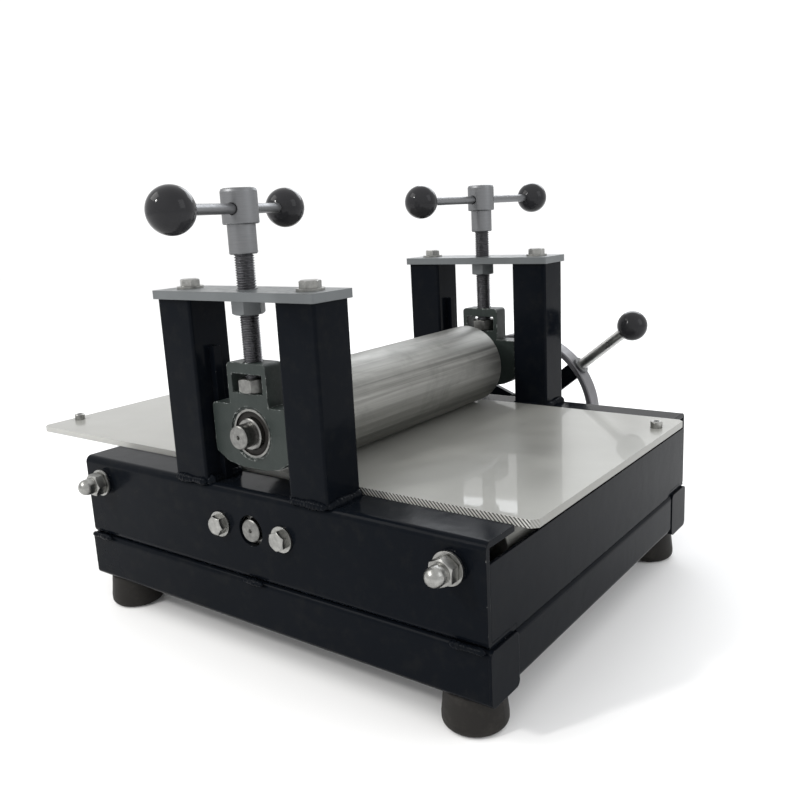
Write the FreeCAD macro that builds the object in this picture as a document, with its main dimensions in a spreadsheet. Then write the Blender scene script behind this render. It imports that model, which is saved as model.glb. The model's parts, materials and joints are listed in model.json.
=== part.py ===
import FreeCAD, Part
import Sketcher
import math
import os

# A bench etching press: a flat steel bed runs between two rollers that squeeze it.
# Frame: origin on the table top under the roller nip, X along the bed's travel,
# Y along the rollers towards the handwheel, Z up. All sizes are millimetres.

Vector = FreeCAD.Vector
Rotation = FreeCAD.Rotation
Placement = FreeCAD.Placement

SIZES = {
    "foot_height": 40, "foot_width": 64, "foot_taper": 3, "foot_round": 8, "foot_left": 256,
    "foot_right": 250, "foot_along": 224,
    "tube_side": 50, "tube_wall": 4, "base_high": 55, "base_round": 6, "base_length": 576,
    "base_width": 512, "cap_thick": 3,
    "rail_length": 570, "rail_height": 100, "rail_depth": 50, "rail_wall": 6, "rail_span": 510,
    "rail_round": 8, "panel_height": 79, "panel_thick": 3,
    "post_height": 197, "post_centre": 86, "post_offset": 230, "post_round": 3,
    "guide_thick": 8, "guide_wide": 10, "guide_height": 146,
    "plate_length": 228, "plate_width": 58, "plate_thick": 9,
    "lug_thick": 8, "bolt_flats": 19, "bolt_head": 7.5, "bolt_shank": 12,
    "washer_wide": 28, "washer_thick": 2.5, "bolt_spread": 86,
    "nut_flats": 30, "nut_high": 16,
    "shaft_width": 25, "low_axis": 151.6, "low_radius": 39.4, "roller_length": 366,
    "top_axis": 253.6, "top_radius": 54, "nip_wall": 10, "nip_plug": 16,
    "idle_axis": 167.6, "idle_radius": 23.4, "idle_place": 250, "idle_shaft": 16,
    "idle_boss": 30, "boss_thick": 4.5,
    "idle_length": 392, "idle_wall": 4, "idle_plug": 18,
    "acorn_flats": 24, "acorn_hex": 12, "acorn_high": 19, "acorn_dome": 9.6, "acorn_washer": 32,
    "shaft_window": 34, "flange_pitch": 45.5, "flange_thick": 12, "flange_hub": 28,
    "ring_outer": 52, "ring_inner": 34, "ring_wide": 16, "ring_long": 27, "race_width": 22,
    "race_inner": 47.2, "seal_inset": 3,
    "bed_length": 774, "bed_width": 396, "bed_thick": 8, "bed_under": 191.3, "bed_middle": -84,
    "bed_clip": 6, "stop_wide": 14, "stop_high": 8, "stop_shank": 8, "stop_across": 370,
    "stop_shift": -85, "stop_along": 150,
    "wheel_rim": 121, "rim_thick": 8.5, "rim_wide": 28, "wheel_middle": 350,
    "hub_wide": 56, "hub_long": 40, "spoke_wide": 25, "spoke_thick": 8,
    "grip_reach": 225, "grip_bar": 16, "grip_boss": 26, "boss_proud": 4, "ball_wide": 43,
    "housing_half": 55, "housing_thick": 24, "tail_half": 28, "tail_top": 74, "wing_top": 29.6,
    "wing_low": 23.6, "housing_low": 37.6, "window_half": 21.75, "window_low": 42.4,
    "window_high": 20, "groove_wide": 12, "groove_deep": 5, "seat_wide": 57,
    "screw_width": 20, "window_nut": 30, "window_nut_high": 15, "head_low": 436,
    "head_step": 465, "head_top": 500, "shank_wide": 28.5, "head_wide": 36.5,
    "tommy_axis": 480, "tommy_bar": 10.4, "tommy_half": 118, "tommy_slid": 9,
}

NEAR_BAR_ANGLE = 110.0
FAR_BAR_ANGLE = 80.0
GRIP_ANGLE = 38.4
SPOKES = 3
SIDES = {"near": -1, "far": 1}
ENDS = {"left": -1, "right": 1}

doc = FreeCAD.newDocument("etching_press")
sheet = doc.addObject("Spreadsheet::Sheet", "dims")
for row, (name, number) in enumerate(SIZES.items(), start=1):
    sheet.set(f"A{row}", name)
    sheet.set(f"B{row}", str(number))
    sheet.setAlias(f"B{row}", name)
doc.recompute()


class Size:
    """A length that carries its number and the spreadsheet expression it comes from."""

    def __init__(self, value, text):
        self.value = value
        self.text = text

    def __add__(self, other):
        other = as_size(other)
        return Size(self.value + other.value, f"({self.text} + {other.text})")

    def __sub__(self, other):
        other = as_size(other)
        return Size(self.value - other.value, f"({self.text} - {other.text})")

    def __mul__(self, factor):
        return Size(self.value * factor, f"({self.text} * {factor})")

    def __truediv__(self, factor):
        return Size(self.value / factor, f"({self.text} / {factor})")

    def __neg__(self):
        return self * -1


def as_size(value):
    return value if isinstance(value, Size) else Size(float(value), f"{float(value)}")


def dim(name):
    return Size(float(sheet.get(name)), f"dims.{name}")


def mm(name):
    return dim(name).value


nodes = {}
made = {}


def add(kind, hint):
    """A document object with a unique internal name."""
    made[hint] = made.get(hint, 0) + 1
    return doc.addObject(kind, f"{hint}_{made[hint]}")


def bind(obj, prop, size):
    obj.setExpression(prop, as_size(size).text)


def keep(label, obj):
    """Gives an object its node name and lists it for export."""
    obj.Label = label
    nodes[label] = obj
    return obj


def spot(x=0, y=0, z=0, rotation=None):
    return Placement(Vector(x, y, z), rotation or Rotation())


ALONG_Y = Rotation(Vector(0, 0, 1), Vector(0, 1, 0))
AGAINST_Y = Rotation(Vector(0, 0, 1), Vector(0, -1, 0))


def outward(side):
    """The rotation that points a piece's own Z away from the press on that side."""
    return ALONG_Y if side > 0 else AGAINST_Y


# ---------------------------------------------------------------- sketch helpers

def sketch_on(body, role, lift=0):
    sketch = body.newObject("Sketcher::SketchObject", "profile")
    plane = next(f for f in body.Origin.OriginFeatures if f.Role == role)
    sketch.AttachmentSupport = [(plane, "")]
    sketch.MapMode = "FlatFace"
    if lift:
        sketch.setExpression("AttachmentOffset.Base.z", as_size(lift).text)
    return sketch


def hold(sketch, kind, geometry, point, size):
    """Ties one coordinate of a sketch point to its expression."""
    size = as_size(size)
    if abs(size.value) < 1e-9:
        axis = -2 if kind == "DistanceX" else -1
        sketch.addConstraint(Sketcher.Constraint("PointOnObject", geometry, point, axis))
        return
    if size.value > 0:
        ends = (-1, 1, geometry, point)
    else:
        ends = (geometry, point, -1, 1)
        size = -size
    index = sketch.addConstraint(Sketcher.Constraint(kind, *ends, size.value))
    sketch.setExpression(f"Constraints[{index}]", size.text)


def outline(sketch, points):
    """A closed polygon whose every corner is tied to the sheet."""
    points = [(as_size(x), as_size(y)) for x, y in points]
    corners = [Vector(x.value, y.value, 0) for x, y in points]
    first = sketch.GeometryCount
    count = len(corners)
    for i, corner in enumerate(corners):
        sketch.addGeometry(Part.LineSegment(corner, corners[(i + 1) % count]), False)
    for i in range(count):
        after = (i + 1) % count
        sketch.addConstraint(Sketcher.Constraint("Coincident", first + i, 2, first + after, 1))
    for i, (x, y) in enumerate(points):
        hold(sketch, "DistanceX", first + i, 1, x)
        hold(sketch, "DistanceY", first + i, 1, y)


def rectangle(sketch, width, height, x=0, y=0):
    half_w = as_size(width) / 2
    half_h = as_size(height) / 2
    x = as_size(x)
    y = as_size(y)
    outline(sketch, [(x - half_w, y - half_h), (x + half_w, y - half_h),
                     (x + half_w, y + half_h), (x - half_w, y + half_h)])


def circle(sketch, width, x=0, y=0):
    radius = as_size(width) / 2
    x = as_size(x)
    y = as_size(y)
    centre = Vector(x.value, y.value, 0)
    index = sketch.addGeometry(Part.Circle(centre, Vector(0, 0, 1), radius.value), False)
    hold(sketch, "DistanceX", index, 3, x)
    hold(sketch, "DistanceY", index, 3, y)
    datum = sketch.addConstraint(Sketcher.Constraint("Radius", index, radius.value))
    sketch.setExpression(f"Constraints[{datum}]", radius.text)


def new_body(hint):
    return add("PartDesign::Body", hint)


def pad(body, sketch, length, middle=False, flip=False):
    feature = body.newObject("PartDesign::Pad", "pad")
    feature.Profile = sketch
    bind(feature, "Length", length)
    if middle:
        feature.SideType = "Symmetric"
    feature.Reversed = flip
    return feature


def pocket(body, sketch, through=True, depth=None, flip=False):
    feature = body.newObject("PartDesign::Pocket", "pocket")
    feature.Profile = sketch
    if through:
        feature.Type = "ThroughAll"
        feature.SideType = "Symmetric"
    else:
        bind(feature, "Length", depth)
        feature.Reversed = flip
    return feature


def turned(hint, profile):
    """A lathe part: a closed (radius, height) outline turned about Z."""
    body = new_body(hint)
    sketch = sketch_on(body, "XZ_Plane")
    outline(sketch, profile)
    feature = body.newObject("PartDesign::Revolution", "turn")
    feature.Profile = sketch
    feature.ReferenceAxis = (sketch, ["V_Axis"])
    feature.Angle = 360.0
    return body


def sleeve(hint, outer, inner, length, start=0):
    """A plain ring or tube turned about Z, from start upwards."""
    outer = as_size(outer) / 2
    inner = as_size(inner) / 2
    low = as_size(start)
    top = low + length
    return turned(hint, [(inner, low), (outer, low), (outer, top), (inner, top)])


def rod(hint, width, length, start=0, bevel=1):
    """A round bar turned about Z with a small bevel on both ends."""
    radius = as_size(width) / 2
    low = as_size(start)
    top = low + length
    return turned(hint, [(0, low), (radius - bevel, low), (radius, low + bevel),
                         (radius, top - bevel), (radius - bevel, top), (0, top)])


def edges_where(feature, test):
    shape = feature.Shape
    return [f"Edge{i}" for i, edge in enumerate(shape.Edges, start=1) if test(edge)]


def rounded(body, feature, radius, test):
    """A fillet on the edges that pass the test."""
    doc.recompute()
    fillet = body.newObject("PartDesign::Fillet", "fillet")
    fillet.Base = (feature, edges_where(feature, test))
    bind(fillet, "Radius", radius)
    return fillet


def cut(hint, base, tool):
    feature = add("Part::Cut", hint)
    feature.Base = base
    feature.Tool = tool
    return feature


def common(hint, first, second):
    feature = add("Part::MultiCommon", hint)
    feature.Shapes = [first, second]
    return feature


def fuse(hint, pieces):
    feature = add("Part::MultiFuse", hint)
    feature.Shapes = pieces
    feature.Refine = True
    return feature


def group(label, pieces):
    """Several separate solids that share one node."""
    feature = add("Part::Compound", label)
    feature.Links = pieces
    return keep(label, feature)


def cylinder(hint, width, height, placement):
    feature = add("Part::Cylinder", hint)
    bind(feature, "Radius", as_size(width) / 2)
    bind(feature, "Height", height)
    feature.Placement = placement
    return feature


def block(hint, length, width, height, placement):
    feature = add("Part::Box", hint)
    bind(feature, "Length", length)
    bind(feature, "Width", width)
    bind(feature, "Height", height)
    feature.Placement = placement
    return feature


def hexagon(hint, flats, height, both_ends=False):
    """A hexagonal head or nut on Z = 0, its corners bevelled at 30 degrees."""
    flats = as_size(flats)
    height = as_size(height)
    prism = add("Part::Prism", hint)
    prism.Polygon = 6
    bind(prism, "Circumradius", flats * 0.577350269)
    bind(prism, "Height", height)
    bevel = add("Part::Cone", hint)
    bind(bevel, "Radius1", flats * 0.475 + height * 1.732)
    bind(bevel, "Radius2", flats * 0.475)
    bind(bevel, "Height", height)
    shape = common(hint, prism, bevel)
    if not both_ends:
        return shape
    under = add("Part::Cone", hint)
    bind(under, "Radius1", flats * 0.475)
    bind(under, "Radius2", flats * 0.475 + height * 1.732)
    bind(under, "Height", height)
    return common(hint, shape, under)


# ---------------------------------------------------------------- base and frame

def tube(hint, length, along, width, height, corner):
    """A rectangular tube centred on its own middle; along is the plane its section lies in."""
    body = new_body(hint)
    sketch = sketch_on(body, along)
    rectangle(sketch, width, height)
    rectangle(sketch, width - dim("tube_wall") * 2, height - dim("tube_wall") * 2)
    feature = pad(body, sketch, length, middle=True)
    first, second = {"YZ_Plane": (1, 2), "XZ_Plane": (0, 2), "XY_Plane": (0, 1)}[along]

    def outer_corner(edge):
        centre = edge.CenterOfMass
        return (abs(abs(centre[first]) - width.value / 2) < 0.01
                and abs(abs(centre[second]) - height.value / 2) < 0.01)

    rounded(body, feature, corner, outer_corner)
    return body


base_middle = mm("foot_height") + mm("base_high") / 2
base_top = mm("foot_height") + mm("base_high")
rail_top = base_top + mm("rail_height")
base_edge = mm("base_width") / 2
rail_face = mm("rail_span") / 2

for side_name, side in SIDES.items():
    rail = tube("base_rail", dim("base_length") - dim("cap_thick") * 2, "YZ_Plane",
                dim("tube_side"), dim("base_high"), dim("base_round"))
    holes = sketch_on(rail, "XY_Plane")
    for end_name, end in ENDS.items():
        shift = dim("base_width") / 2 - dim("tube_side") / 2 - dim("foot_along")
        circle(holes, 10.4, dim(f"foot_{end_name}") * end, -shift * side)
    pocket(rail, holes, through=False, depth=dim("base_high") / 2)
    rail.Placement = spot(0, side * (base_edge - mm("tube_side") / 2), base_middle)
    keep(f"base_rail_{side_name}", rail)

for end_name, end in ENDS.items():
    member = tube("base_end", dim("base_width") - dim("tube_side") * 2, "XZ_Plane",
                  dim("tube_side"), dim("tube_side"), dim("base_round"))
    place = mm("base_length") / 2 - mm("tube_side") / 2 - 1
    member.Placement = spot(end * place, 0, base_top - mm("tube_side") / 2)
    keep(f"base_end_{end_name}", member)

caps = []
for side in SIDES.values():
    for end in ENDS.values():
        cap = new_body("base_cap")
        sketch = sketch_on(cap, "YZ_Plane")
        rectangle(sketch, dim("tube_side"), dim("base_high"))
        feature = pad(cap, sketch, dim("cap_thick"), middle=True)
        rounded(cap, feature, dim("base_round"),
                lambda edge: abs(abs(edge.CenterOfMass.y) - mm("tube_side") / 2) < 0.01
                and abs(abs(edge.CenterOfMass.z) - mm("base_high") / 2) < 0.01)
        middle = mm("base_length") / 2 - mm("cap_thick") / 2
        cap.Placement = spot(end * middle, side * (base_edge - mm("tube_side") / 2), base_middle)
        caps.append(cap)
group("base_end_caps", caps)

feet = []
foot_bolts = []
for side in SIDES.values():
    for end_name, end in ENDS.items():
        place = spot(end * mm(f"foot_{end_name}"), side * mm("foot_along"), 0)
        wide = dim("foot_width") / 2
        foot = turned("foot", [
            (13, 0), (wide, 0), (wide, 12),
            (wide - dim("foot_taper"), dim("foot_height") - 2),
            (wide - dim("foot_taper") - 2, dim("foot_height")),
            (5.2, dim("foot_height")), (5.2, 15), (13, 15)])
        rounded(foot, foot.Tip, dim("foot_round"),
                lambda edge: edge.BoundBox.ZMax < 0.01 and edge.BoundBox.XLength > mm("foot_width") - 1)
        foot.Placement = place
        feet.append(foot)
        head = hexagon("foot_head", 16, 6.5)
        head.Placement = spot(0, 0, 15, Rotation(Vector(1, 0, 0), 180))
        shank = cylinder("foot_shank", 10, dim("foot_height") - 15 + 11, spot(0, 0, 15))
        bolt = fuse("foot_bolt", [head, shank])
        bolt.Placement = place
        foot_bolts.append(bolt)
group("rubber_feet", feet)
group("foot_bolts", foot_bolts)

for side_name, side in SIDES.items():
    rail = new_body("side_channel")
    section = sketch_on(rail, "YZ_Plane")
    deep = dim("rail_depth") * -side
    wall = dim("rail_wall")
    height = dim("rail_height")
    inner = wall * -side
    outline(section, [(0, 0), (deep, 0), (deep, wall), (inner, wall),
                      (inner, height - wall), (deep, height - wall), (deep, height), (0, height)])
    feature = pad(rail, section, dim("rail_length"), middle=True)
    feature = rounded(rail, feature, dim("rail_round"),
                      lambda edge: abs(edge.CenterOfMass.y) < 0.01
                      and min(abs(edge.CenterOfMass.z),
                              abs(edge.CenterOfMass.z - mm("rail_height"))) < 0.01)
    bosses = sketch_on(rail, "XZ_Plane")
    for end in (-1, 1):
        circle(bosses, dim("idle_boss"), dim("idle_place") * end, dim("idle_axis") - base_top)
    pad(rail, bosses, dim("boss_thick"), flip=side > 0)
    holes = sketch_on(rail, "XZ_Plane")
    low = dim("low_axis") - base_top
    circle(holes, dim("shaft_window"), 0, low)
    for end in (-1, 1):
        circle(holes, dim("bolt_shank") + 0.8, dim("flange_pitch") * end, low)
        circle(holes, dim("idle_shaft") + 0.4, dim("idle_place") * end, dim("idle_axis") - base_top)
    pocket(rail, holes)
    rail.Placement = spot(0, side * rail_face, base_top)
    keep(f"side_channel_{side_name}", rail)

for end_name, end in ENDS.items():
    panel = new_body("end_panel")
    face = sketch_on(panel, "YZ_Plane")
    wide = dim("rail_span") / 2 - dim("rail_wall")
    slim = dim("rail_span") / 2 - dim("rail_depth")
    outline(face, [(-slim, 0), (slim, 0), (slim, dim("rail_wall")), (wide, dim("rail_wall")),
                   (wide, dim("panel_height")), (-wide, dim("panel_height")),
                   (-wide, dim("rail_wall")), (-slim, dim("rail_wall"))])
    pad(panel, face, dim("panel_thick"), flip=end > 0)
    panel.Placement = spot(end * mm("rail_length") / 2, 0, base_top)
    keep(f"end_panel_{end_name}", panel)

post_middle = rail_top + mm("post_height") / 2
lugs = []
guides = []
for side_name, side in SIDES.items():
    for end_name, end in ENDS.items():
        post = tube("post", dim("post_height"), "XY_Plane",
                    dim("tube_side"), dim("tube_side"), dim("post_round"))
        post.Placement = spot(end * mm("post_centre"), side * mm("post_offset"), post_middle)
        keep(f"post_{side_name}_{end_name}", post)
        lug = new_body("post_lug")
        sketch = sketch_on(lug, "XY_Plane")
        rectangle(sketch, dim("tube_side") - dim("tube_wall") * 2,
                  dim("tube_side") - dim("tube_wall") * 2)
        circle(sketch, dim("bolt_shank") + 0.2)
        pad(lug, sketch, dim("lug_thick"))
        lug.Placement = spot(end * mm("post_centre"), side * mm("post_offset"),
                             rail_top + mm("post_height") - mm("lug_thick"))
        lugs.append(lug)
        guide = new_body("guide")
        sketch = sketch_on(guide, "XY_Plane")
        rectangle(sketch, dim("guide_thick"), dim("guide_wide"))
        pad(guide, sketch, dim("guide_height"))
        inset = mm("post_centre") - mm("tube_side") / 2 - mm("guide_thick") / 2
        guide.Placement = spot(end * inset, side * mm("post_offset"), rail_top)
        guides.append(guide)
group("post_end_plates", lugs)
group("guide_bars", guides)

plate_low = rail_top + mm("post_height")
plate_top = plate_low + mm("plate_thick")
plate_nuts = []
plate_bolts = []
plate_washers = []
for side_name, side in SIDES.items():
    plate = new_body("top_plate")
    sketch = sketch_on(plate, "XY_Plane")
    rectangle(sketch, dim("plate_length"), dim("plate_width"))
    circle(sketch, dim("screw_width") + 2)
    for end in (-1, 1):
        circle(sketch, dim("bolt_shank") + 0.8, dim("bolt_spread") * end, 0)
    feature = pad(plate, sketch, dim("plate_thick"))
    length = mm("plate_length") / 2
    rounded(plate, feature, 2,
            lambda edge: abs(abs(edge.CenterOfMass.x) - length) < 0.01
            and abs(edge.CenterOfMass.y) > 1)
    plate.Placement = spot(0, side * mm("post_offset"), plate_low)
    keep(f"top_plate_{side_name}", plate)
    nut = hexagon("plate_nut", dim("nut_flats"), dim("nut_high"), both_ends=True)
    bore = cylinder("plate_nut_bore", dim("screw_width") + 0.1, dim("nut_high"), spot())
    nut = cut("plate_nut", nut, bore)
    nut.Placement = spot(0, side * mm("post_offset"), plate_low - mm("nut_high"))
    plate_nuts.append(nut)
    for end in ENDS.values():
        head = hexagon("plate_head", dim("bolt_flats"), dim("bolt_head"))
        reach = dim("washer_thick") + dim("plate_thick") + dim("lug_thick") + 3
        shank = cylinder("plate_shank", dim("bolt_shank"), reach,
                         Placement(Vector(0, 0, -reach.value), Rotation()))
        bolt = fuse("plate_bolt", [head, shank])
        turn = Rotation(Vector(0, 0, 1), 12 * end + 20 * side)
        bolt.Placement = spot(end * mm("bolt_spread"), side * mm("post_offset"),
                              plate_top + mm("washer_thick"), turn)
        plate_bolts.append(bolt)
        washer = sleeve("plate_washer", dim("washer_wide"), dim("bolt_shank") + 0.8,
                        dim("washer_thick"))
        washer.Placement = spot(end * mm("bolt_spread"), side * mm("post_offset"), plate_top)
        plate_washers.append(washer)
group("plate_nuts", plate_nuts)
group("plate_bolts", plate_bolts)
group("plate_washers", plate_washers)

# ---------------------------------------------------------------- lower bearings and idlers

web_inner = rail_face - mm("rail_wall")
flange_rings = []
flange_bolts = []
flange_washers = []
flange_nuts = []
for side_name, side in SIDES.items():
    housing = new_body("flange_housing")
    sketch = sketch_on(housing, "XY_Plane")
    lug = dim("flange_pitch")
    outline(sketch, [(lug + 14, 6), (lug + 8, 13), (22, 33), (-22, 33), (-lug - 8, 13),
                     (-lug - 14, 6), (-lug - 14, -6), (-lug - 8, -13), (-22, -33), (22, -33),
                     (lug + 8, -13), (lug + 14, -6)])
    for end in (-1, 1):
        circle(sketch, dim("bolt_shank") + 0.8, lug * end, 0)
    circle(sketch, dim("ring_outer"))
    pad(housing, sketch, dim("flange_thick"))
    hub = sketch_on(housing, "XY_Plane")
    circle(hub, 66)
    circle(hub, dim("ring_outer"))
    pad(housing, hub, dim("flange_hub"))
    housing.Placement = spot(0, side * web_inner, mm("low_axis"), outward(-side))
    keep(f"flange_housing_{side_name}", housing)
    ring = sleeve("flange_ring", dim("ring_outer"), dim("ring_inner") + 0.1, dim("ring_wide"), 8)
    ring.Placement = spot(0, side * web_inner, mm("low_axis"), outward(-side))
    flange_rings.append(ring)
    for end in ENDS.values():
        head = hexagon("flange_head", dim("bolt_flats"), dim("bolt_head"))
        reach = dim("washer_thick") + dim("rail_wall") + dim("flange_thick") + 13
        shank = cylinder("flange_shank", dim("bolt_shank"), reach,
                         Placement(Vector(0, 0, -reach.value), Rotation()))
        bolt = fuse("flange_bolt", [head, shank])
        turn = outward(side).multiply(Rotation(Vector(0, 0, 1), 8 + 17 * end))
        bolt.Placement = spot(end * mm("flange_pitch"), side * (rail_face + mm("washer_thick")),
                              mm("low_axis"), turn)
        flange_bolts.append(bolt)
        washer = sleeve("flange_washer", dim("washer_wide"), dim("bolt_shank") + 0.8,
                        dim("washer_thick"))
        washer.Placement = spot(end * mm("flange_pitch"), side * rail_face, mm("low_axis"),
                                outward(side))
        flange_washers.append(washer)
        nut = cut("flange_nut", hexagon("flange_nut", dim("bolt_flats"), 10, both_ends=True),
                  cylinder("flange_nut_bore", dim("bolt_shank") + 0.1, 10, spot()))
        nut.Placement = spot(end * mm("flange_pitch"), side * (web_inner - mm("flange_thick")),
                             mm("low_axis"), outward(-side))
        flange_nuts.append(nut)
group("flange_bearing_rings", flange_rings)
group("flange_bolts", flange_bolts)
group("flange_washers", flange_washers)
group("flange_nuts", flange_nuts)

idle_shafts = []
acorns = []
acorn_washers = []
for end_name, end in ENDS.items():
    reach = dim("rail_span") + (dim("boss_thick") + dim("washer_thick") + dim("acorn_hex")) * 2
    shaft = rod("idler_shaft", dim("idle_shaft"), reach, -reach / 2)
    shaft.Placement = spot(end * mm("idle_place"), 0, mm("idle_axis"), ALONG_Y)
    idle_shafts.append(shaft)
    for side in SIDES.values():
        washer = sleeve("acorn_washer", dim("acorn_washer"), dim("idle_shaft") + 0.4,
                        dim("washer_thick"))
        boss_face = rail_face + mm("boss_thick")
        washer.Placement = spot(end * mm("idle_place"), side * boss_face, mm("idle_axis"),
                                outward(side))
        acorn_washers.append(washer)
        hexed = hexagon("acorn_hex", dim("acorn_flats"), dim("acorn_hex"), both_ends=True)
        dome = add("Part::Sphere", "acorn_dome")
        bind(dome, "Radius", dim("acorn_dome"))
        dome.Angle1 = 0
        dome.Placement = spot(0, 0, mm("acorn_high"))
        neck = cylinder("acorn_neck", dim("acorn_dome") * 2,
                        dim("acorn_high") - dim("acorn_hex") + 2, spot(0, 0, mm("acorn_hex") - 2))
        bore = cylinder("acorn_bore", dim("idle_shaft") + 0.1, dim("acorn_hex") + 1.5, spot())
        nut = cut("acorn_nut", fuse("acorn_body", [hexed, neck, dome]), bore)
        turn = outward(side).multiply(Rotation(Vector(0, 0, 1), 15 * end + 10))
        nut.Placement = spot(end * mm("idle_place"), side * (boss_face + mm("washer_thick")),
                             mm("idle_axis"), turn)
        acorns.append(nut)
    outer = dim("idle_radius")
    inner = outer - dim("idle_wall")
    half = dim("idle_length") / 2
    hole = dim("idle_shaft") / 2 + 0.05
    plug = half - dim("idle_plug")
    roller = turned("idler_roller", [
        (hole, -half), (outer - 1, -half), (outer, -half + 1), (outer, half - 1),
        (outer - 1, half), (hole, half), (hole, plug), (inner, plug), (inner, -plug),
        (hole, -plug)])
    roller.Placement = spot(end * mm("idle_place"), 0, mm("idle_axis"), ALONG_Y)
    keep(f"idler_roller_{end_name}", roller)
group("idler_shafts", idle_shafts)
group("acorn_nuts", acorns)
group("acorn_washers", acorn_washers)

# ---------------------------------------------------------------- bed

bed = new_body("bed")
sketch = sketch_on(bed, "XY_Plane")
half_long = dim("bed_length") / 2
half_wide = dim("bed_width") / 2
clip = dim("bed_clip")
outline(sketch, [
    (-half_long + clip, -half_wide), (half_long - clip, -half_wide),
    (half_long, -half_wide + clip), (half_long, half_wide - clip),
    (half_long - clip, half_wide), (-half_long + clip, half_wide),
    (-half_long, half_wide - clip), (-half_long, -half_wide + clip)])
stop_places = {"left": (-1, -1), "right": (1, 1)}
for across, along in stop_places.values():
    shift = dim("bed_middle") * -1
    circle(sketch, dim("stop_shank") + 0.2, dim("stop_across") * across + shift + dim("stop_shift"),
           dim("stop_along") * along)
pad(bed, sketch, dim("bed_thick"))
bed.Placement = spot(mm("bed_middle"), 0, mm("bed_under"))
keep("bed_plate", bed)

stops = []
for across, along in stop_places.values():
    wide = dim("stop_wide") / 2
    stop = turned("bed_stop", [
        (0, 0), (dim("stop_shank") / 2, 0), (dim("stop_shank") / 2, dim("bed_thick")),
        (wide, dim("bed_thick")), (wide, dim("bed_thick") + dim("stop_high") - 1),
        (wide - 1, dim("bed_thick") + dim("stop_high")), (3.5, dim("bed_thick") + dim("stop_high")),
        (3.5, dim("bed_thick") + dim("stop_high") - 4), (0, dim("bed_thick") + dim("stop_high") - 4)])
    stop.Placement = spot(mm("stop_across") * across + mm("stop_shift"),
                          mm("stop_along") * along, mm("bed_under"))
    stops.append(stop)
group("bed_stops", stops)


# ---------------------------------------------------------------- rollers and wheel

def nip_roller(label, radius, axis_height):
    """A hollow roller with thick end walls, bored for its shaft."""
    half = dim("roller_length") / 2
    inner = radius - dim("nip_wall")
    plug = half - dim("nip_plug")
    hole = dim("shaft_width") / 2
    roller = turned(label, [
        (hole, -half), (radius - 1.5, -half), (radius, -half + 1.5), (radius, half - 1.5),
        (radius - 1.5, half), (hole, half), (hole, plug), (inner, plug), (inner, -plug),
        (hole, -plug)])
    roller.Placement = spot(0, 0, axis_height, ALONG_Y)
    return keep(label, roller)


nip_roller("lower_roller", dim("low_radius"), mm("low_axis"))
low_end = mm("wheel_middle") + mm("hub_long") / 2 + 2
low_shaft = turned("lower_shaft", [
    (0, -rail_face - 1 + 6), (2.4, -rail_face - 1), (dim("shaft_width") / 2 - 1, -rail_face - 1),
    (dim("shaft_width") / 2, -rail_face), (dim("shaft_width") / 2, low_end - 1),
    (dim("shaft_width") / 2 - 1, low_end), (0, low_end)])
low_shaft.Placement = spot(0, 0, mm("low_axis"), ALONG_Y)
keep("lower_shaft", low_shaft)

low_inner = []
for side in SIDES.values():
    ring = sleeve("lower_inner_ring", dim("ring_inner"), dim("shaft_width"), dim("ring_long"), 2)
    ring.Placement = spot(0, side * web_inner, mm("low_axis"), outward(-side))
    low_inner.append(ring)
group("lower_inner_rings", low_inner)

wheel_place = spot(0, mm("wheel_middle"), mm("low_axis"), ALONG_Y)
hub = turned("wheel_hub", [
    (dim("shaft_width") / 2, -dim("hub_long") / 2), (dim("hub_wide") / 2 - 1.5, -dim("hub_long") / 2),
    (dim("hub_wide") / 2, -dim("hub_long") / 2 + 1.5), (dim("hub_wide") / 2, dim("hub_long") / 2 - 1.5),
    (dim("hub_wide") / 2 - 1.5, dim("hub_long") / 2), (dim("shaft_width") / 2, dim("hub_long") / 2)])
hub.Placement = wheel_place
keep("wheel_hub", hub)

rim_outer = dim("wheel_rim")
rim_inner = rim_outer - dim("rim_thick")
rim_half = dim("rim_wide") / 2
rim = turned("wheel_rim", [
    (rim_inner, -rim_half + 1), (rim_inner + 1, -rim_half), (rim_outer - 1.5, -rim_half),
    (rim_outer, -rim_half + 1.5), (rim_outer, rim_half - 1.5), (rim_outer - 1.5, rim_half),
    (rim_inner + 1, rim_half), (rim_inner, rim_half - 1)])
rim.Placement = wheel_place
keep("wheel_rim", rim)


def radial(angle):
    """The rotation that points Z along a wheel radius at an angle from +X towards +Z."""
    turn = math.radians(angle)
    return Rotation(Vector(0, 0, 1), Vector(math.cos(turn), 0, math.sin(turn)))


spokes = []
for i in range(SPOKES):
    angle = GRIP_ANGLE + 360.0 * i / SPOKES
    bar = block("spoke_bar", dim("wheel_rim"), dim("spoke_wide"), dim("spoke_thick"),
                spot(0, -mm("spoke_wide") / 2, -mm("spoke_thick") / 2))
    gap = sleeve("spoke_gap", rim_inner * 2, dim("hub_wide"), 40, -20)
    spoke = common("spoke", bar, gap)
    turn = ALONG_Y.multiply(Rotation(Vector(0, 0, 1), -angle))
    spoke.Placement = spot(0, mm("wheel_middle"), mm("low_axis"), turn)
    spokes.append(spoke)
group("wheel_spokes", spokes)

boss = sleeve("grip_boss", dim("grip_boss"), dim("grip_bar"), dim("boss_proud") + 8,
              dim("wheel_rim") - 8)
inside = cylinder("rim_outline", dim("wheel_rim") * 2, 60, spot(0, -30, 0, ALONG_Y))
boss = cut("grip_boss", boss, inside)
boss.Placement = spot(0, mm("wheel_middle"), mm("low_axis"), radial(GRIP_ANGLE))
keep("grip_boss", boss)
grip = rod("grip_bar", dim("grip_bar"), dim("grip_reach") - 14 - dim("wheel_rim") - 1,
           dim("wheel_rim") + 1)
grip.Placement = spot(0, mm("wheel_middle"), mm("low_axis"), radial(GRIP_ANGLE))
keep("grip_bar", grip)


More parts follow.
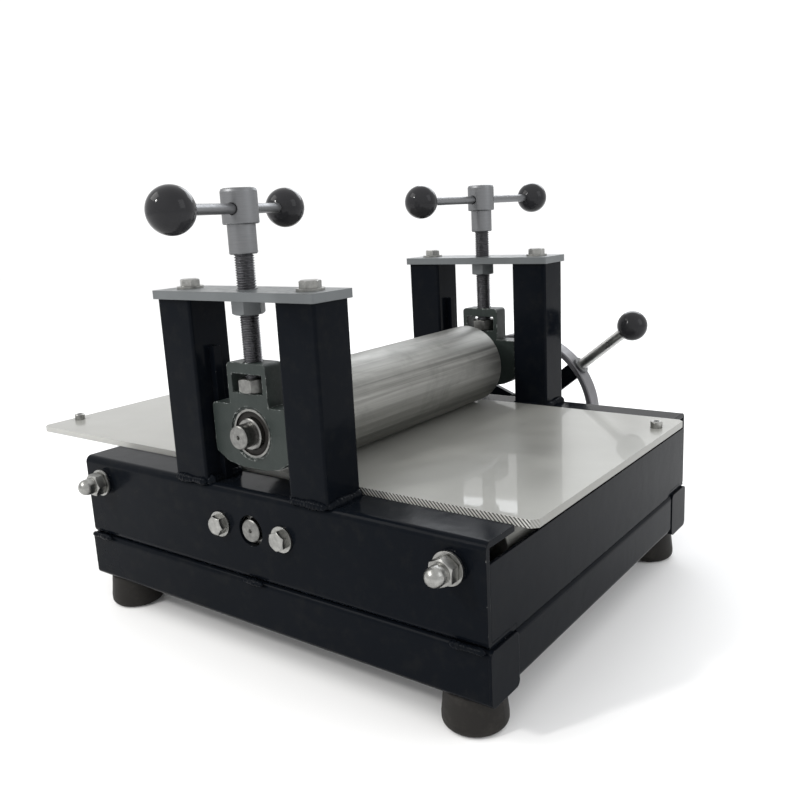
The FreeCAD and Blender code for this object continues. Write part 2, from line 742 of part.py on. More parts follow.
def ball(hint, bar_width, turn, middle, depth):
    """A round knob at a point, bored from below to take its bar."""
    sphere = add("Part::Sphere", hint)
    bind(sphere, "Radius", dim("ball_wide") / 2)
    drill = cylinder(f"{hint}_bore", bar_width, dim("ball_wide"),
                     Placement(Vector(0, 0, -mm("ball_wide") - depth), Rotation()))
    knob = cut(hint, sphere, drill)
    knob.Placement = Placement(middle, turn)
    return knob


grip_turn = radial(GRIP_ANGLE)
grip_end = Vector(0, mm("wheel_middle"), mm("low_axis")) + grip_turn.multVec(Vector(0, 0, mm("grip_reach")))
keep("grip_ball", ball("grip_ball", dim("grip_bar"), grip_turn, grip_end, 14))

# ---------------------------------------------------------------- take-up housings and upper roller

take_up_rings = []
for side_name, side in SIDES.items():
    housing = new_body("take_up_housing")
    sketch = sketch_on(housing, "XZ_Plane")
    half = dim("housing_half")
    tail = dim("tail_half")
    outline(sketch, [
        (-18, -dim("housing_low")), (18, -dim("housing_low")), (38, -dim("housing_low") + 4),
        (half, -dim("wing_low")), (half, dim("wing_top")), (tail, dim("wing_top")),
        (tail, dim("tail_top")), (-tail, dim("tail_top")), (-tail, dim("wing_top")),
        (-half, dim("wing_top")), (-half, -dim("wing_low")), (-38, -dim("housing_low") + 4)])
    circle(sketch, dim("ring_outer"))
    rectangle(sketch, dim("window_half") * 2, dim("window_high"), 0,
              dim("window_low") + dim("window_high") / 2)
    feature = pad(housing, sketch, dim("housing_thick"), middle=True)
    rounded(housing, feature, 5,
            lambda edge: abs(edge.CenterOfMass.y) < 0.01 and edge.Curve.TypeId == "Part::GeomLine"
            and edge.Length > 20 and (edge.CenterOfMass.z > 70 or abs(edge.CenterOfMass.x) > 50))
    grooves = sketch_on(housing, "XY_Plane")
    for end in (-1, 1):
        rectangle(grooves, dim("groove_deep") * 2, dim("groove_wide"), dim("housing_half") * end, 0)
    pocket(housing, grooves)
    seat = sketch_on(housing, "XZ_Plane", -dim("housing_thick") / 2)
    circle(seat, dim("seat_wide"))
    pocket(housing, seat, through=False, depth=1.5, flip=True)
    seat = sketch_on(housing, "XZ_Plane", dim("housing_thick") / 2)
    circle(seat, dim("seat_wide"))
    pocket(housing, seat, through=False, depth=1.5)
    drill = sketch_on(housing, "XY_Plane", dim("tail_top") - 20)
    circle(drill, dim("screw_width") + 0.8)
    pocket(housing, drill, through=False, depth=30, flip=True)
    housing.Placement = spot(0, side * mm("post_offset"), mm("top_axis"))
    keep(f"take_up_housing_{side_name}", housing)
    inner = dim("ring_inner") / 2 + 0.05
    race = dim("race_inner") / 2
    outer = dim("ring_outer") / 2
    face = dim("race_width") / 2
    seal = face - dim("seal_inset")
    ring = turned("take_up_ring", [
        (inner, -seal), (race, -seal), (race, -face), (outer, -face), (outer, face),
        (race, face), (race, seal), (inner, seal)])
    ring.Placement = spot(0, side * mm("post_offset"), mm("top_axis"), ALONG_Y)
    take_up_rings.append(ring)
group("take_up_rings", take_up_rings)

nip_roller("upper_roller", dim("top_radius"), mm("top_axis"))
shaft_end = mm("post_offset") + mm("housing_thick") / 2 + 18.5
half_shaft = dim("shaft_width") / 2
upper_shaft = turned("upper_shaft", [
    (0, -shaft_end + 6), (2.4, -shaft_end), (half_shaft - 1, -shaft_end),
    (half_shaft, -shaft_end + 1), (half_shaft, shaft_end - 1), (half_shaft - 1, shaft_end),
    (2.4, shaft_end), (0, shaft_end - 6)])
upper_shaft.Placement = spot(0, 0, mm("top_axis"), ALONG_Y)
keep("upper_shaft", upper_shaft)
upper_inner = []
for side in SIDES.values():
    half = dim("ring_long") / 2
    wide = dim("ring_inner") / 2
    ring = turned("upper_inner_ring", [
        (half_shaft, -half), (wide - 1.2, -half), (wide, -half + 1.2), (wide, half - 1.2),
        (wide - 1.2, half), (half_shaft, half)])
    ring.Placement = spot(0, side * (mm("post_offset") + 2), mm("top_axis"), ALONG_Y)
    upper_inner.append(ring)
group("upper_inner_rings", upper_inner)

# ---------------------------------------------------------------- pressure screws

screw_low = mm("top_axis") + mm("window_low") + 0.3
for side_name, side in SIDES.items():
    y = side * mm("post_offset")
    screw = rod("screw", dim("screw_width"), dim("head_step") + 6 - screw_low, screw_low)
    screw.Placement = spot(0, y, 0)
    keep(f"screw_rod_{side_name}", screw)
    shank = dim("shank_wide") / 2
    wide = dim("head_wide") / 2
    core = dim("screw_width") / 2
    low = dim("head_low")
    step = dim("head_step")
    top = dim("head_top")
    head = turned("screw_head", [
        (core, low), (shank - 1, low), (shank, low + 1), (shank, step), (wide - 1, step),
        (wide, step + 1), (wide, top - 3.5), (wide - 1, top - 1), (wide - 3.5, top),
        (0, top), (0, step + 6), (core, step + 6)])
    angle = {"near": NEAR_BAR_ANGLE, "far": FAR_BAR_ANGLE}[side_name]
    cross = Rotation(Vector(0, 0, 1), Vector(math.cos(math.radians(angle)),
                                             math.sin(math.radians(angle)), 0))
    middle = Vector(0, y, mm("tommy_axis"))
    head.Placement = spot(0, y, 0)
    drill = cylinder("cross_hole", dim("tommy_bar") + 1.2, 60,
                     Placement(middle - cross.multVec(Vector(0, 0, 30)), cross))
    keep(f"screw_head_{side_name}", cut("screw_head", head, drill))
    nut = cut("window_nut", hexagon("window_nut", dim("window_nut"), dim("window_nut_high"),
                                    both_ends=True),
              cylinder("window_nut_bore", dim("screw_width"), dim("window_nut_high"), spot()))
    nut.Placement = spot(0, y, screw_low)
    keep(f"window_nut_{side_name}", nut)
    slid = -mm("tommy_slid") if side_name == "near" else -1.5
    bar_half = dim("tommy_half") - 13
    bar = rod("tommy_bar", dim("tommy_bar"), bar_half * 2, -bar_half)
    bar.Placement = Placement(middle + cross.multVec(Vector(0, 0, slid)), cross)
    keep(f"tommy_bar_{side_name}", bar)
    knobs = []
    for end in (-1, 1):
        place = middle + cross.multVec(Vector(0, 0, slid + end * mm("tommy_half")))
        turn = cross if end > 0 else cross.multiply(Rotation(Vector(1, 0, 0), 180))
        knobs.append(ball("tommy_knob", dim("tommy_bar"), turn, place, 13))
    group(f"tommy_knobs_{side_name}", knobs)

# ---------------------------------------------------------------- check and write

doc.recompute()
for obj in doc.Objects:
    if "Invalid" in obj.State or "Error" in obj.State:
        raise RuntimeError(f"{obj.Label} failed: {obj.State}")
for label, obj in nodes.items():
    if obj.Shape.isNull() or not obj.Shape.isValid() or not obj.Shape.Solids:
        raise RuntimeError(f"{label} has no valid solid")

os.makedirs("parts", exist_ok=True)
for label, obj in nodes.items():
    obj.Shape.exportStep(f"parts/{label}.step")
    volume = obj.Shape.Volume / 1000
    print(f"{label}: {len(obj.Shape.Solids)} solids, {volume:.1f} cm3, box {obj.Shape.BoundBox}")
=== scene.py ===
import json
import math
import random

import bpy
from mathutils import Matrix, Vector


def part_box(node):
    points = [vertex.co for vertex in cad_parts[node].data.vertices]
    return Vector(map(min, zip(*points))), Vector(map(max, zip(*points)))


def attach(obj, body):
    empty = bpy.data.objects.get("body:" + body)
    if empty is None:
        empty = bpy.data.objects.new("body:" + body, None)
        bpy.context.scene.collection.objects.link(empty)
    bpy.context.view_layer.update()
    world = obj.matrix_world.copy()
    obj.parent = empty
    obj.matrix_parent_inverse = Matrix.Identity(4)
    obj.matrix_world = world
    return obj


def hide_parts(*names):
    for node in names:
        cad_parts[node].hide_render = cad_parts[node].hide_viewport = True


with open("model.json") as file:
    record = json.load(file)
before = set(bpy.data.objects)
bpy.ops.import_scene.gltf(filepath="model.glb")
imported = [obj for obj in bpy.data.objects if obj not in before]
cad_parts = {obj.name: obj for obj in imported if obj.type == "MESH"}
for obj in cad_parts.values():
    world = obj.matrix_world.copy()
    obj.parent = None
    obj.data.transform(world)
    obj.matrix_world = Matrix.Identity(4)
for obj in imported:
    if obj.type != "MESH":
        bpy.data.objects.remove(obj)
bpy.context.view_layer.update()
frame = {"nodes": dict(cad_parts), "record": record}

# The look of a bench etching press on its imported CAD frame.
# Metres, with X along the bed, Y along the rollers and Z up.

nodes = frame["nodes"]

# sockets of a Mix node in its colour mode
MIX_FIRST = 6
MIX_SECOND = 7
MIX_RESULT = 2

# samples of a Bevel node, enough for edges a millimetre or two wide
BEVEL_SAMPLES = 4


# ---------------------------------------------------------------- node helpers

class Graph:
    """A principled material with short calls for the nodes it needs."""

    def __init__(self, name):
        self.material = bpy.data.materials.new(name)
        self.material.use_nodes = True
        self.tree = self.material.node_tree
        self.shader = self.tree.nodes["Principled BSDF"]
        self.place = self.tree.nodes.new("ShaderNodeTexCoord").outputs["Object"]

    def add(self, kind, **values):
        """A new node with its own settings."""
        node = self.tree.nodes.new(kind)
        for key, value in values.items():
            setattr(node, key, value)
        return node

    def put(self, value, socket):
        """Link a socket's output, or set a plain number or colour."""
        if isinstance(value, bpy.types.NodeSocket):
            self.tree.links.new(value, socket)
        else:
            socket.default_value = value

    def set(self, **values):
        """Fill the shader's own sockets, with _ for each space of their names."""
        for key, value in values.items():
            self.put(value, self.shader.inputs[key.replace("_", " ")])

    def noise(self, scale, detail=4.0, stretch=(1, 1, 1), rough=0.55, twist=0.0):
        """Noise over the piece, where a larger stretch packs the pattern tighter along that axis."""
        mapping = self.add("ShaderNodeMapping")
        mapping.inputs["Scale"].default_value = stretch
        self.put(self.place, mapping.inputs["Vector"])
        node = self.add("ShaderNodeTexNoise")
        self.put(mapping.outputs[0], node.inputs["Vector"])
        node.inputs["Scale"].default_value = scale
        node.inputs["Detail"].default_value = detail
        node.inputs["Roughness"].default_value = rough
        node.inputs["Distortion"].default_value = twist
        return node.outputs["Fac"]

    def spread(self, value, low, high, to_low=0.0, to_high=1.0):
        """Low to high becomes to_low to to_high, and stops there."""
        node = self.add("ShaderNodeMapRange")
        for key, number in zip(("From Min", "From Max", "To Min", "To Max"),
                               (low, high, to_low, to_high)):
            node.inputs[key].default_value = number
        self.put(value, node.inputs["Value"])
        return node.outputs[0]

    def mix(self, factor, first, second):
        node = self.add("ShaderNodeMix", data_type="RGBA")
        self.put(factor, node.inputs["Factor"])
        for value, index in ((first, MIX_FIRST), (second, MIX_SECOND)):
            if not isinstance(value, bpy.types.NodeSocket):
                value = (*value, 1.0)
            self.put(value, node.inputs[index])
        return node.outputs[MIX_RESULT]

    def math(self, operation, first, second=0.0):
        node = self.add("ShaderNodeMath", operation=operation)
        self.put(first, node.inputs[0])
        self.put(second, node.inputs[1])
        return node.outputs[0]

    def edges(self, width, low=0.02, high=0.12):
        """1 on the sharp edges of the piece and 0 on its flats."""
        bevel = self.add("ShaderNodeBevel", samples=BEVEL_SAMPLES)
        bevel.inputs["Radius"].default_value = width
        flat = self.add("ShaderNodeNewGeometry").outputs["Normal"]
        dot = self.add("ShaderNodeVectorMath", operation="DOT_PRODUCT")
        self.put(bevel.outputs[0], dot.inputs[0])
        self.put(flat, dot.inputs[1])
        away = self.math("SUBTRACT", 1.0, dot.outputs["Value"])
        return self.spread(away, low, high)

    def relief(self, *layers, soften=0.0006):
        """Stacked bumps over slightly softened edges. Each layer is (height, strength, depth)."""
        bevel = self.add("ShaderNodeBevel", samples=BEVEL_SAMPLES)
        bevel.inputs["Radius"].default_value = soften
        normal = bevel.outputs[0]
        for height, strength, depth in layers:
            bump = self.add("ShaderNodeBump")
            bump.inputs["Strength"].default_value = strength
            bump.inputs["Distance"].default_value = depth
            self.put(height, bump.inputs["Height"])
            self.put(normal, bump.inputs["Normal"])
            normal = bump.outputs[0]
        self.put(normal, self.shader.inputs["Normal"])


def black_paint():
    """Gloss paint with a little orange peel, grime and chipped edges."""
    g = Graph("black_gloss_paint")
    cloud = g.noise(7, 5)
    peel = g.noise(260, 2)
    wave = g.noise(26, 2)
    grime = g.spread(g.noise(60, 8, rough=0.7), 0.5, 0.72)
    chip = g.math("MULTIPLY", g.edges(0.0016, 0.04, 0.16),
                  g.spread(g.noise(170, 6, rough=0.7), 0.62, 0.67))
    tone = g.mix(cloud, (0.0022, 0.0032, 0.005), (0.0045, 0.0056, 0.0078))
    tone = g.mix(g.math("MULTIPLY", grime, 0.3), tone, (0.013, 0.013, 0.012))
    tone = g.mix(chip, tone, (0.22, 0.22, 0.21))
    g.set(Base_Color=tone)
    rough = g.spread(cloud, 0.25, 0.75, 0.09, 0.2)
    rough = g.math("ADD", rough, g.math("MULTIPLY", grime, 0.12))
    g.set(Roughness=rough, IOR=1.105)
    g.relief((wave, 0.22, 0.0012), (peel, 0.06, 0.0004), soften=0.0012)
    return g.material


def grey_paint(name, dark, light, chips=0.66):
    """Satin paint. A higher chips leaves fewer worn edges."""
    g = Graph(name)
    cloud = g.noise(22, 6)
    fine = g.noise(420, 3)
    scuff = g.spread(g.noise(48, 8, (1, 3, 1), 0.75), 0.6, 0.7)
    worn = g.math("MULTIPLY", g.edges(0.0018, 0.03, 0.14),
                  g.spread(g.noise(210, 6, rough=0.7), chips - 0.06, chips))
    tone = g.mix(cloud, dark, light)
    tone = g.mix(g.math("MULTIPLY", scuff, 0.4), tone, (0.06, 0.062, 0.065))
    tone = g.mix(worn, tone, (0.03, 0.03, 0.03))
    g.set(Base_Color=tone, Metallic=0.25)
    g.set(Roughness=g.spread(g.noise(90, 5), 0.3, 0.7, 0.3, 0.48))
    g.relief((fine, 0.12, 0.0003), (cloud, 0.15, 0.001), soften=0.0009)
    return g.material


def casting():
    """Green-grey paint over a rough casting, worn bright along its edges."""
    g = Graph("painted_casting")
    cloud = g.noise(30, 6)
    lumps = g.noise(150, 5)
    grain = g.noise(900, 4)
    bright = g.math("MULTIPLY", g.edges(0.0022, 0.02, 0.12),
                    g.spread(g.noise(240, 7, rough=0.75), 0.52, 0.6))
    specks = g.spread(g.noise(330, 4, rough=0.6), 0.72, 0.76)
    tone = g.mix(cloud, (0.012, 0.0165, 0.015), (0.025, 0.033, 0.03))
    tone = g.mix(g.math("MULTIPLY", specks, 0.5), tone, (0.16, 0.17, 0.165))
    tone = g.mix(bright, tone, (0.42, 0.44, 0.43))
    g.set(Base_Color=tone, Metallic=g.math("MULTIPLY", bright, 0.7))
    g.set(Roughness=g.spread(g.noise(70, 5), 0.3, 0.7, 0.34, 0.52), IOR=1.3)
    g.relief((lumps, 0.35, 0.0012), (grain, 0.3, 0.0004), soften=0.0014)
    return g.material


def steel(name, dark, light, rough, stretch=(1, 1, 1), scale=60, strength=0.1, soften=0.0005):
    """Bare or plated steel with machining marks along the stretch."""
    g = Graph(name)
    cloud = g.noise(38, 6)
    lines = g.noise(scale, 5, stretch, 0.6)
    stain = g.spread(g.noise(95, 7, rough=0.7), 0.58, 0.74)
    tone = g.mix(g.spread(lines, 0.25, 0.75), dark, light)
    tone = g.mix(g.math("MULTIPLY", stain, 0.35), tone, tuple(0.45 * c for c in dark))
    g.set(Base_Color=tone, Metallic=1.0)
    level = g.spread(cloud, 0.3, 0.7, rough - 0.06, rough + 0.08)
    g.set(Roughness=g.math("ADD", level, g.math("MULTIPLY", stain, 0.1)))
    g.relief((lines, strength, 0.0003), soften=soften)
    return g.material


def roller_steel():
    """Turned steel with streaks along the roller."""
    g = Graph("streaked_roller")
    broad = g.noise(1, 3, (34, 1.1, 34), 0.5, 0.4)
    narrow = g.noise(1, 4, (210, 3.0, 210), 0.6, 0.3)
    hair = g.noise(1, 2, (30, 1400, 30), 0.5)
    smear = g.noise(1, 6, (12, 7, 12), 0.65, 1.2)
    tone = g.mix(g.spread(broad, 0.34, 0.66), (0.16, 0.16, 0.15), (0.265, 0.265, 0.25))
    tone = g.mix(g.math("MULTIPLY", g.spread(narrow, 0.45, 0.7), 0.5), tone, (0.4, 0.4, 0.38))
    tone = g.mix(g.math("MULTIPLY", g.spread(smear, 0.52, 0.7), 0.45), tone, (0.12, 0.122, 0.115))
    g.set(Base_Color=tone, Metallic=1.0)
    rough = g.spread(narrow, 0.3, 0.7, 0.38, 0.52)
    g.set(Roughness=g.math("ADD", rough, g.spread(smear, 0.4, 0.7, 0.0, 0.12)))
    g.relief((hair, 0.05, 0.0002), (narrow, 0.05, 0.0005))
    return g.material


def bed_steel():
    """Polished plate with cutter marks on its long edges and a plainer short edge."""
    g = Graph("polished_bed")
    hatch_scale = 145
    cloud = g.noise(5, 5, (1, 1.6, 1), 0.6, 0.6)
    lines = g.noise(1, 4, (6, 420, 6), 0.6)
    smudge = g.spread(g.noise(16, 5, rough=0.5), 0.25, 0.85)
    tone = g.mix(g.spread(cloud, 0.3, 0.7), (0.235, 0.235, 0.22), (0.285, 0.285, 0.267))
    tone = g.mix(g.math("MULTIPLY", smudge, 0.3), tone, (0.27, 0.27, 0.25))
    facing = g.add("ShaderNodeSeparateXYZ")
    g.put(g.add("ShaderNodeNewGeometry").outputs["True Normal"], facing.inputs[0])
    long_edge = g.spread(g.math("ABSOLUTE", facing.outputs["Y"]), 0.6, 0.9)
    short_edge = g.spread(g.math("ABSOLUTE", facing.outputs["X"]), 0.6, 0.9)
    hatch = g.add("ShaderNodeTexWave", wave_type="BANDS", bands_direction="DIAGONAL")
    hatch.inputs["Scale"].default_value = hatch_scale
    hatch.inputs["Distortion"].default_value = 0.8
    hatch.inputs["Detail Scale"].default_value = 30
    g.put(g.place, hatch.inputs["Vector"])
    cutter = g.math("MULTIPLY", g.spread(hatch.outputs["Fac"], 0.3, 0.7), long_edge)
    tone = g.mix(g.math("MULTIPLY", long_edge, 0.9), tone, (0.06, 0.06, 0.056))
    tone = g.mix(g.math("MULTIPLY", cutter, 0.85), tone, (0.75, 0.75, 0.72))
    tone = g.mix(g.math("MULTIPLY", short_edge, 0.8), tone, (0.21, 0.21, 0.195))
    g.set(Base_Color=tone, Metallic=0.25)
    rough = g.math("ADD", g.spread(cloud, 0.3, 0.7, 0.26, 0.36), g.math("MULTIPLY", smudge, 0.1))
    g.set(Roughness=rough, IOR=1.18, Coat_Weight=0.7, Coat_IOR=1.19, Coat_Roughness=0.03)
    g.relief((lines, 0.012, 0.0001), (cutter, 0.5, 0.0005), soften=0.0004)
    return g.material


def ball_plastic():
    """Glossy black plastic with a haze of dust."""
    g = Graph("black_knob")
    haze = g.noise(48, 6)
    dust = g.spread(g.noise(520, 3, rough=0.6), 0.7, 0.76)
    tone = g.mix(haze, (0.016, 0.016, 0.0175), (0.024, 0.024, 0.026))
    tone = g.mix(g.math("MULTIPLY", dust, 0.3), tone, (0.07, 0.07, 0.07))
    g.set(Base_Color=tone, Roughness=g.spread(haze, 0.3, 0.7, 0.06, 0.13), IOR=1.22)
    g.relief((g.noise(130, 3), 0.06, 0.0006))
    return g.material


def foot_rubber():
    """Matt dusty rubber."""
    g = Graph("foot_rubber")
    haze = g.noise(24, 6)
    dust = g.spread(g.noise(70, 8, rough=0.75), 0.5, 0.75)
    tone = g.mix(haze, (0.009, 0.0082, 0.0075), (0.018, 0.0165, 0.015))
    tone = g.mix(g.math("MULTIPLY", dust, 0.4), tone, (0.045, 0.041, 0.036))
    g.set(Base_Color=tone, Roughness=g.spread(haze, 0.3, 0.7, 0.5, 0.7), IOR=1.25)
    g.relief((g.noise(520, 4), 0.25, 0.0004), soften=0.001)
    return g.material


# stretches of the machining marks: none, and rings round an upright piece
plain = (1, 1, 1)
turned = (60, 60, 1600)

finishes = {
    "black_paint": black_paint(),
    "grey_paint": grey_paint("grey_plate_paint", (0.078, 0.086, 0.089), (0.12, 0.129, 0.134)),
    "rim_grey": grey_paint("grey_rim_paint", (0.085, 0.084, 0.09), (0.14, 0.138, 0.15), 0.72),
    "cast_grey": casting(),
    "zinc": steel("zinc_plate", (0.18, 0.18, 0.173), (0.36, 0.36, 0.345), 0.3, plain, 140, 0.12),
    "dark_steel": steel("oiled_thread", (0.075, 0.075, 0.08), (0.16, 0.16, 0.17), 0.4,
                        plain, 180, 0.15),
    "handle_steel": steel("satin_handle", (0.145, 0.148, 0.153), (0.178, 0.181, 0.187), 0.44,
                          turned, 1, 0.03, 0.0012),
    "shaft_steel": steel("turned_shaft", (0.1, 0.1, 0.097), (0.22, 0.22, 0.21), 0.32,
                         plain, 200, 0.1),
    "bearing_steel": steel("bearing_ring", (0.1, 0.1, 0.097), (0.24, 0.24, 0.23), 0.28,
                           plain, 120, 0.06),
    "bright_bar": steel("bright_bar", (0.36, 0.36, 0.35), (0.66, 0.66, 0.64), 0.3,
                        plain, 200, 0.1),
    "roller_steel": roller_steel(),
    "bed_steel": bed_steel(),
    "black_ball": ball_plastic(),
    "rubber": foot_rubber(),
}


def paint(obj, slot):
    obj.data.materials.clear()
    obj.data.materials.append(finishes[slot])


for part in frame["record"]["subparts"]:
    paint(nodes[part["node"]], part["material_slot"])
paint(nodes["grip_bar"], "bright_bar")


# ---------------------------------------------------------------- modelled details

def new_piece(name, vertices, faces, body, slot, smooth=True):
    """A mesh piece that rides a body and wears the finish of its slot."""
    mesh = bpy.data.meshes.new(name)
    mesh.from_pydata([tuple(v) for v in vertices], [], faces)
    mesh.update()
    for polygon in mesh.polygons:
        polygon.use_smooth = smooth
    obj = bpy.data.objects.new(name, mesh)
    bpy.context.scene.collection.objects.link(obj)
    mesh.materials.append(finishes[slot])
    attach(obj, body)
    return obj


def tube_faces(rows, around):
    """Faces of a stack of rings of vertices, closed at both ends."""
    faces = []
    for i in range(rows - 1):
        for j in range(around):
            k = (j + 1) % around
            faces.append((i * around + j, i * around + k, (i + 1) * around + k, (i + 1) * around + j))
    faces.append(tuple(reversed(range(around))))
    faces.append(tuple((rows - 1) * around + j for j in range(around)))
    return faces


def threaded_rod(name, node, body):
    """A rod with a real helical thread, in the place of a plain CAD cylinder."""
    low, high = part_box(node)
    centre = (low + high) / 2
    outer = (high.x - low.x) / 2
    depth = 0.0013
    pitch = 0.0025
    around = 40
    rows_per_turn = 10
    lead_in = 0.002
    lead_in_taper = 0.1
    rows = int((high.z - low.z) / (pitch / rows_per_turn))
    vertices = []
    for i in range(rows + 1):
        z = low.z + (high.z - low.z) * i / rows
        end = min(z - low.z, high.z - z) / lead_in
        for j in range(around):
            turn = j / around
            phase = (z / pitch - turn) % 1.0
            ridge = min(1.0, max(0.0, 1.25 - abs(phase * 2 - 1) * 1.5))
            radius = ((outer - depth + depth * ridge)
                      * (1 - lead_in_taper * max(0.0, 1 - end)))
            angle = turn * math.tau
            vertices.append((centre.x + radius * math.cos(angle),
                             centre.y + radius * math.sin(angle), z))
    rod = new_piece(name, vertices, tube_faces(rows + 1, around), body, "dark_steel", False)
    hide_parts(node)
    return rod


for side in ("near", "far"):
    threaded_rod(f"screw_thread_{side}", f"screw_rod_{side}", f"screw_{side}")


def weld(name, start, end, out, size, seed):
    """A lumpy bead from start to end, round the corner that out points away from."""
    rng = random.Random(seed)
    start = Vector(start)
    end = Vector(end)
    out = Vector(out).normalized()
    along = (end - start).normalized()
    up = along.cross(out).normalized()
    length = (end - start).length
    rows = max(8, int(length / 0.0012))
    around = 12
    ripple = 0.0042
    drift = rng.uniform(0, 6)
    vertices = []
    for i in range(rows + 1):
        s = i / rows
        middle = start.lerp(end, s)
        phase = (s * length / ripple + 0.25 * math.sin(s * 17 + drift)) % 1.0
        lump = 0.8 + 0.24 * math.sin(math.pi * phase) + 0.16 * math.sin(s * 9 + drift)
        taper = min(1.0, s * 9, (1 - s) * 9) ** 0.5 if 0 < s < 1 else 0.05
        radius = size * lump * taper * rng.uniform(0.96, 1.04)
        for j in range(around):
            angle = math.tau * j / around
            wide = out * math.cos(angle) + up * math.sin(angle)
            vertices.append(middle + wide * radius)
    return new_piece(name, vertices, tube_faces(rows + 1, around), "frame", "black_paint")


def weld_ring(name, box_low, box_high, z, size, seed):
    """Beads along the four bottom edges of an upright post, the heaviest on its +X side."""
    corners = [(box_low.x, box_low.y), (box_high.x, box_low.y),
               (box_high.x, box_high.y), (box_low.x, box_high.y)]
    outs = [(0, -1, 1), (1, 0, 1), (0, 1, 1), (-1, 0, 1)]
    widths = [size, size * 1.35, size, size]
    for i in range(4):
        start = Vector((*corners[i], z))
        end = Vector((*corners[(i + 1) % 4], z))
        weld(f"{name}_{i + 1}", start, end, outs[i], widths[i], seed + i)


POST_BEAD = 0.0045
SEAM_BEAD = 0.0034

for index, post in enumerate(("near_left", "near_right", "far_left", "far_right")):
    low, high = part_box(f"post_{post}")
    weld_ring(f"weld_{post}", low, high, low.z + 0.001, POST_BEAD, 20 + 5 * index)


def channel_welds():
    """Short beads that tack each channel to its base rail, at both ends and in the middle."""
    tacks = ((-0.284, -0.246), (-0.015, 0.015), (0.246, 0.284))
    for number, side in enumerate(("near", "far")):
        low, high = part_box(f"side_channel_{side}")
        y = low.y + 0.0012 if side == "near" else high.y - 0.0012
        out = (0, -1 if side == "near" else 1, 0.2)
        z = low.z + 0.0002
        for k, (first, last) in enumerate(tacks):
            weld(f"weld_rail_{side}_{k + 1}", (first, y, z), (last, y, z), out, SEAM_BEAD,
                 60 + 7 * number + k)


channel_welds()


def ring_piece(name, centre, inner, outer, low, high, body, slot):
    """A flat ring round the Y axis, with its two faces at low and high."""
    around = 64
    rim = 0.0004
    section = [(inner, low), (outer, low), (outer, high - rim), (outer - rim, high),
               (inner + rim, high), (inner, high - rim)]
    vertices = [(centre.x + r * math.cos(math.tau * j / around), y,
                 centre.z + r * math.sin(math.tau * j / around))
                for r, y in section for j in range(around)]
    count = len(section)
    faces = []
    for i in range(count):
        n = (i + 1) % count
        for j in range(around):
            k = (j + 1) % around
            face = (i * around + j, i * around + k, n * around + k, n * around + j)
            faces.append(face if high > low else tuple(reversed(face)))
    return new_piece(name, vertices, faces, body, slot)


def bearing_seals():
    """Black rubber shields in the recess of each take-up bearing."""
    low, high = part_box("take_up_rings")
    centre = (low + high) / 2
    recess = 0.003
    inner = 0.0174
    outer = 0.0234
    sunk = 0.0002
    proud = 0.0009
    face = high.y - recess
    for side, sign in (("near", -1), ("far", 1)):
        ring_piece(f"seal_{side}", centre, inner, outer, sign * (face - sunk),
                   sign * (face + proud), "carriage", "rubber")


bearing_seals()


# ---------------------------------------------------------------- stage, light and camera

LIT_POINT = (0, 0, 0.2)
CAMERA_PLACE = (0.6277, -0.8205, 0.4694)
CAMERA_YAW = 0.6436
CAMERA_PITCH = 0.2204
CAMERA_ROLL = -0.0508


def floor():
    """A wide pale floor at the feet."""
    mesh = bpy.data.meshes.new("floor")
    half = 9.0
    mesh.from_pydata([(-half, -half, 0), (half, -half, 0), (half, half, 0), (-half, half, 0)], [],
                     [(0, 1, 2, 3)])
    obj = bpy.data.objects.new("floor", mesh)
    bpy.context.scene.collection.objects.link(obj)
    g = Graph("pale_floor")
    g.set(Base_Color=(0.9, 0.9, 0.9, 1.0), Roughness=0.8, Specular_IOR_Level=0.1)
    mesh.materials.append(g.material)


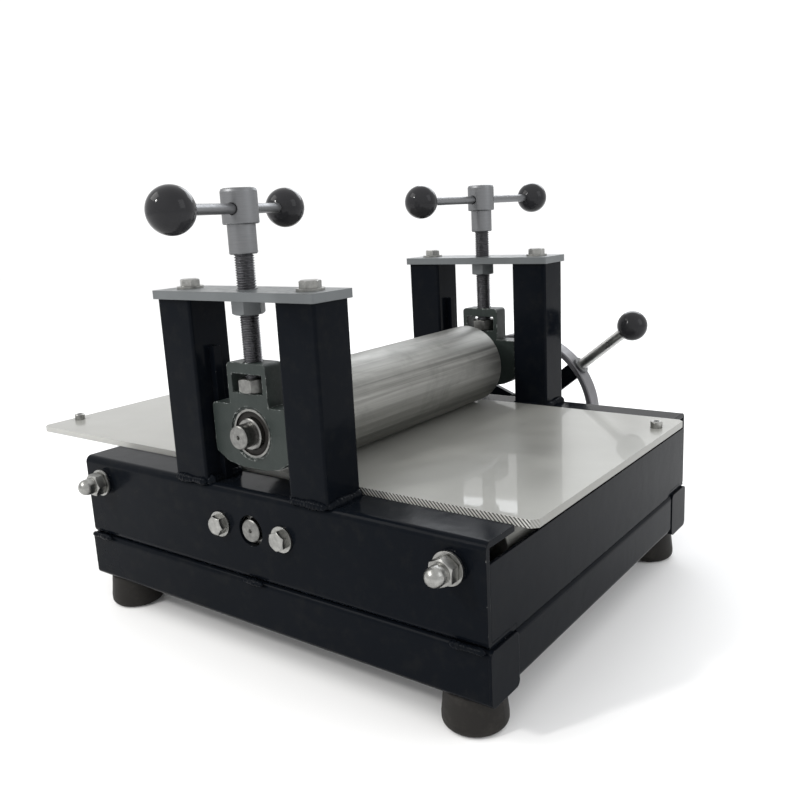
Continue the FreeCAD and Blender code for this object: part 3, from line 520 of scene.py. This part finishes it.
def softbox(name, place, size, power, tint):
    """A rectangular light that faces the middle of the press."""
    light = bpy.data.lights.new(name, "AREA")
    light.shape = "RECTANGLE"
    light.size, light.size_y = size
    light.energy = power
    light.color = tint
    obj = bpy.data.objects.new(name, light)
    bpy.context.scene.collection.objects.link(obj)
    obj.location = place
    towards = Vector(LIT_POINT) - Vector(place)
    obj.rotation_euler = towards.to_track_quat("-Z", "Y").to_euler()


def sky():
    """An even white surround, which also makes the backdrop."""
    world = bpy.data.worlds.new("studio")
    world.use_nodes = True
    bpy.context.scene.world = world
    back = world.node_tree.nodes["Background"]
    back.inputs["Color"].default_value = (1.0, 1.0, 1.0, 1.0)
    back.inputs["Strength"].default_value = 1.12


def photo_camera():
    """A camera at CAMERA_PLACE that looks along yaw and pitch, rolled about its own line of sight."""
    ahead = Vector((-math.sin(CAMERA_YAW) * math.cos(CAMERA_PITCH),
                    math.cos(CAMERA_YAW) * math.cos(CAMERA_PITCH), -math.sin(CAMERA_PITCH)))
    right = Vector((math.cos(CAMERA_YAW), math.sin(CAMERA_YAW), 0.0))
    above = right.cross(ahead)
    right, above = (math.cos(CAMERA_ROLL) * right + math.sin(CAMERA_ROLL) * above,
                    -math.sin(CAMERA_ROLL) * right + math.cos(CAMERA_ROLL) * above)
    camera = bpy.data.objects.new("camera", bpy.data.cameras.new("camera"))
    bpy.context.scene.collection.objects.link(camera)
    camera.matrix_world = Matrix((
        (right.x, above.x, -ahead.x, CAMERA_PLACE[0]),
        (right.y, above.y, -ahead.y, CAMERA_PLACE[1]),
        (right.z, above.z, -ahead.z, CAMERA_PLACE[2]),
        (0, 0, 0, 1)))
    camera.data.lens = 37.81
    camera.data.sensor_width = 36.0
    camera.data.clip_start = 0.02
    bpy.context.scene.camera = camera


floor()
sky()
softbox("key", (-1.6, -1.5, 2.4), (1.6, 1.2), 26, (1.0, 0.985, 0.96))
softbox("window", (-0.6, 2.6, 1.9), (2.4, 1.2), 34, (0.93, 0.96, 1.0))
softbox("lamp", (-0.9, -2.3, 2.1), (0.22, 0.36), 30, (1.0, 0.99, 0.97))
softbox("fill", (2.4, 0.4, 1.5), (1.2, 1.6), 12, (0.96, 0.98, 1.0))
photo_camera()
bpy.context.scene.view_settings.view_transform = "Standard"
